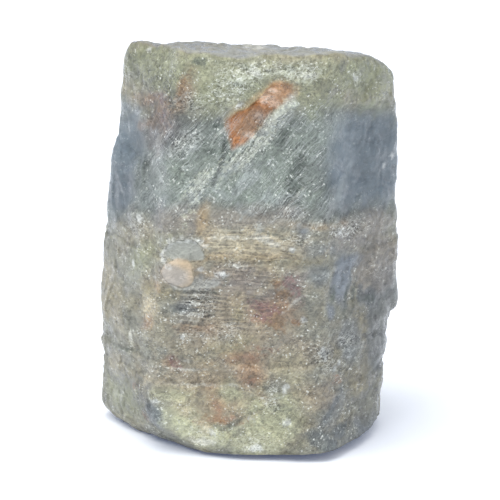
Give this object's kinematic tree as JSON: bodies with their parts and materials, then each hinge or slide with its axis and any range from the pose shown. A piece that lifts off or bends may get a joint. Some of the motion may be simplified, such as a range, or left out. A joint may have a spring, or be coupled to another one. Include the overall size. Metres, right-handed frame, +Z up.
{
  "type": "raw sapphire crystal",
  "caption": "Rough, stubby barrel-shaped hexagonal crystal with flat prism faces, growth ledges, a crusted girdle and crown, a tilted broken top and a flat broken base.",
  "frame": {"origin": "under the middle of the stone's box, on the surface it stands on", "axes": "+Z up along the crystal's long axis, -Y out of the face with the diagonal rust pocket, +X to that face's right"},
  "size_m": [0.0208, 0.0188, 0.0274],
  "materials": {
    "corundum": "rough sugary crystal surface, grey-green with blue-grey bands, tan crust and rust stains, satin with small bright glints"
  },
  "bodies": {
    "root": {"sapphire_crystal": "corundum"}
  },
  "joints": []
}
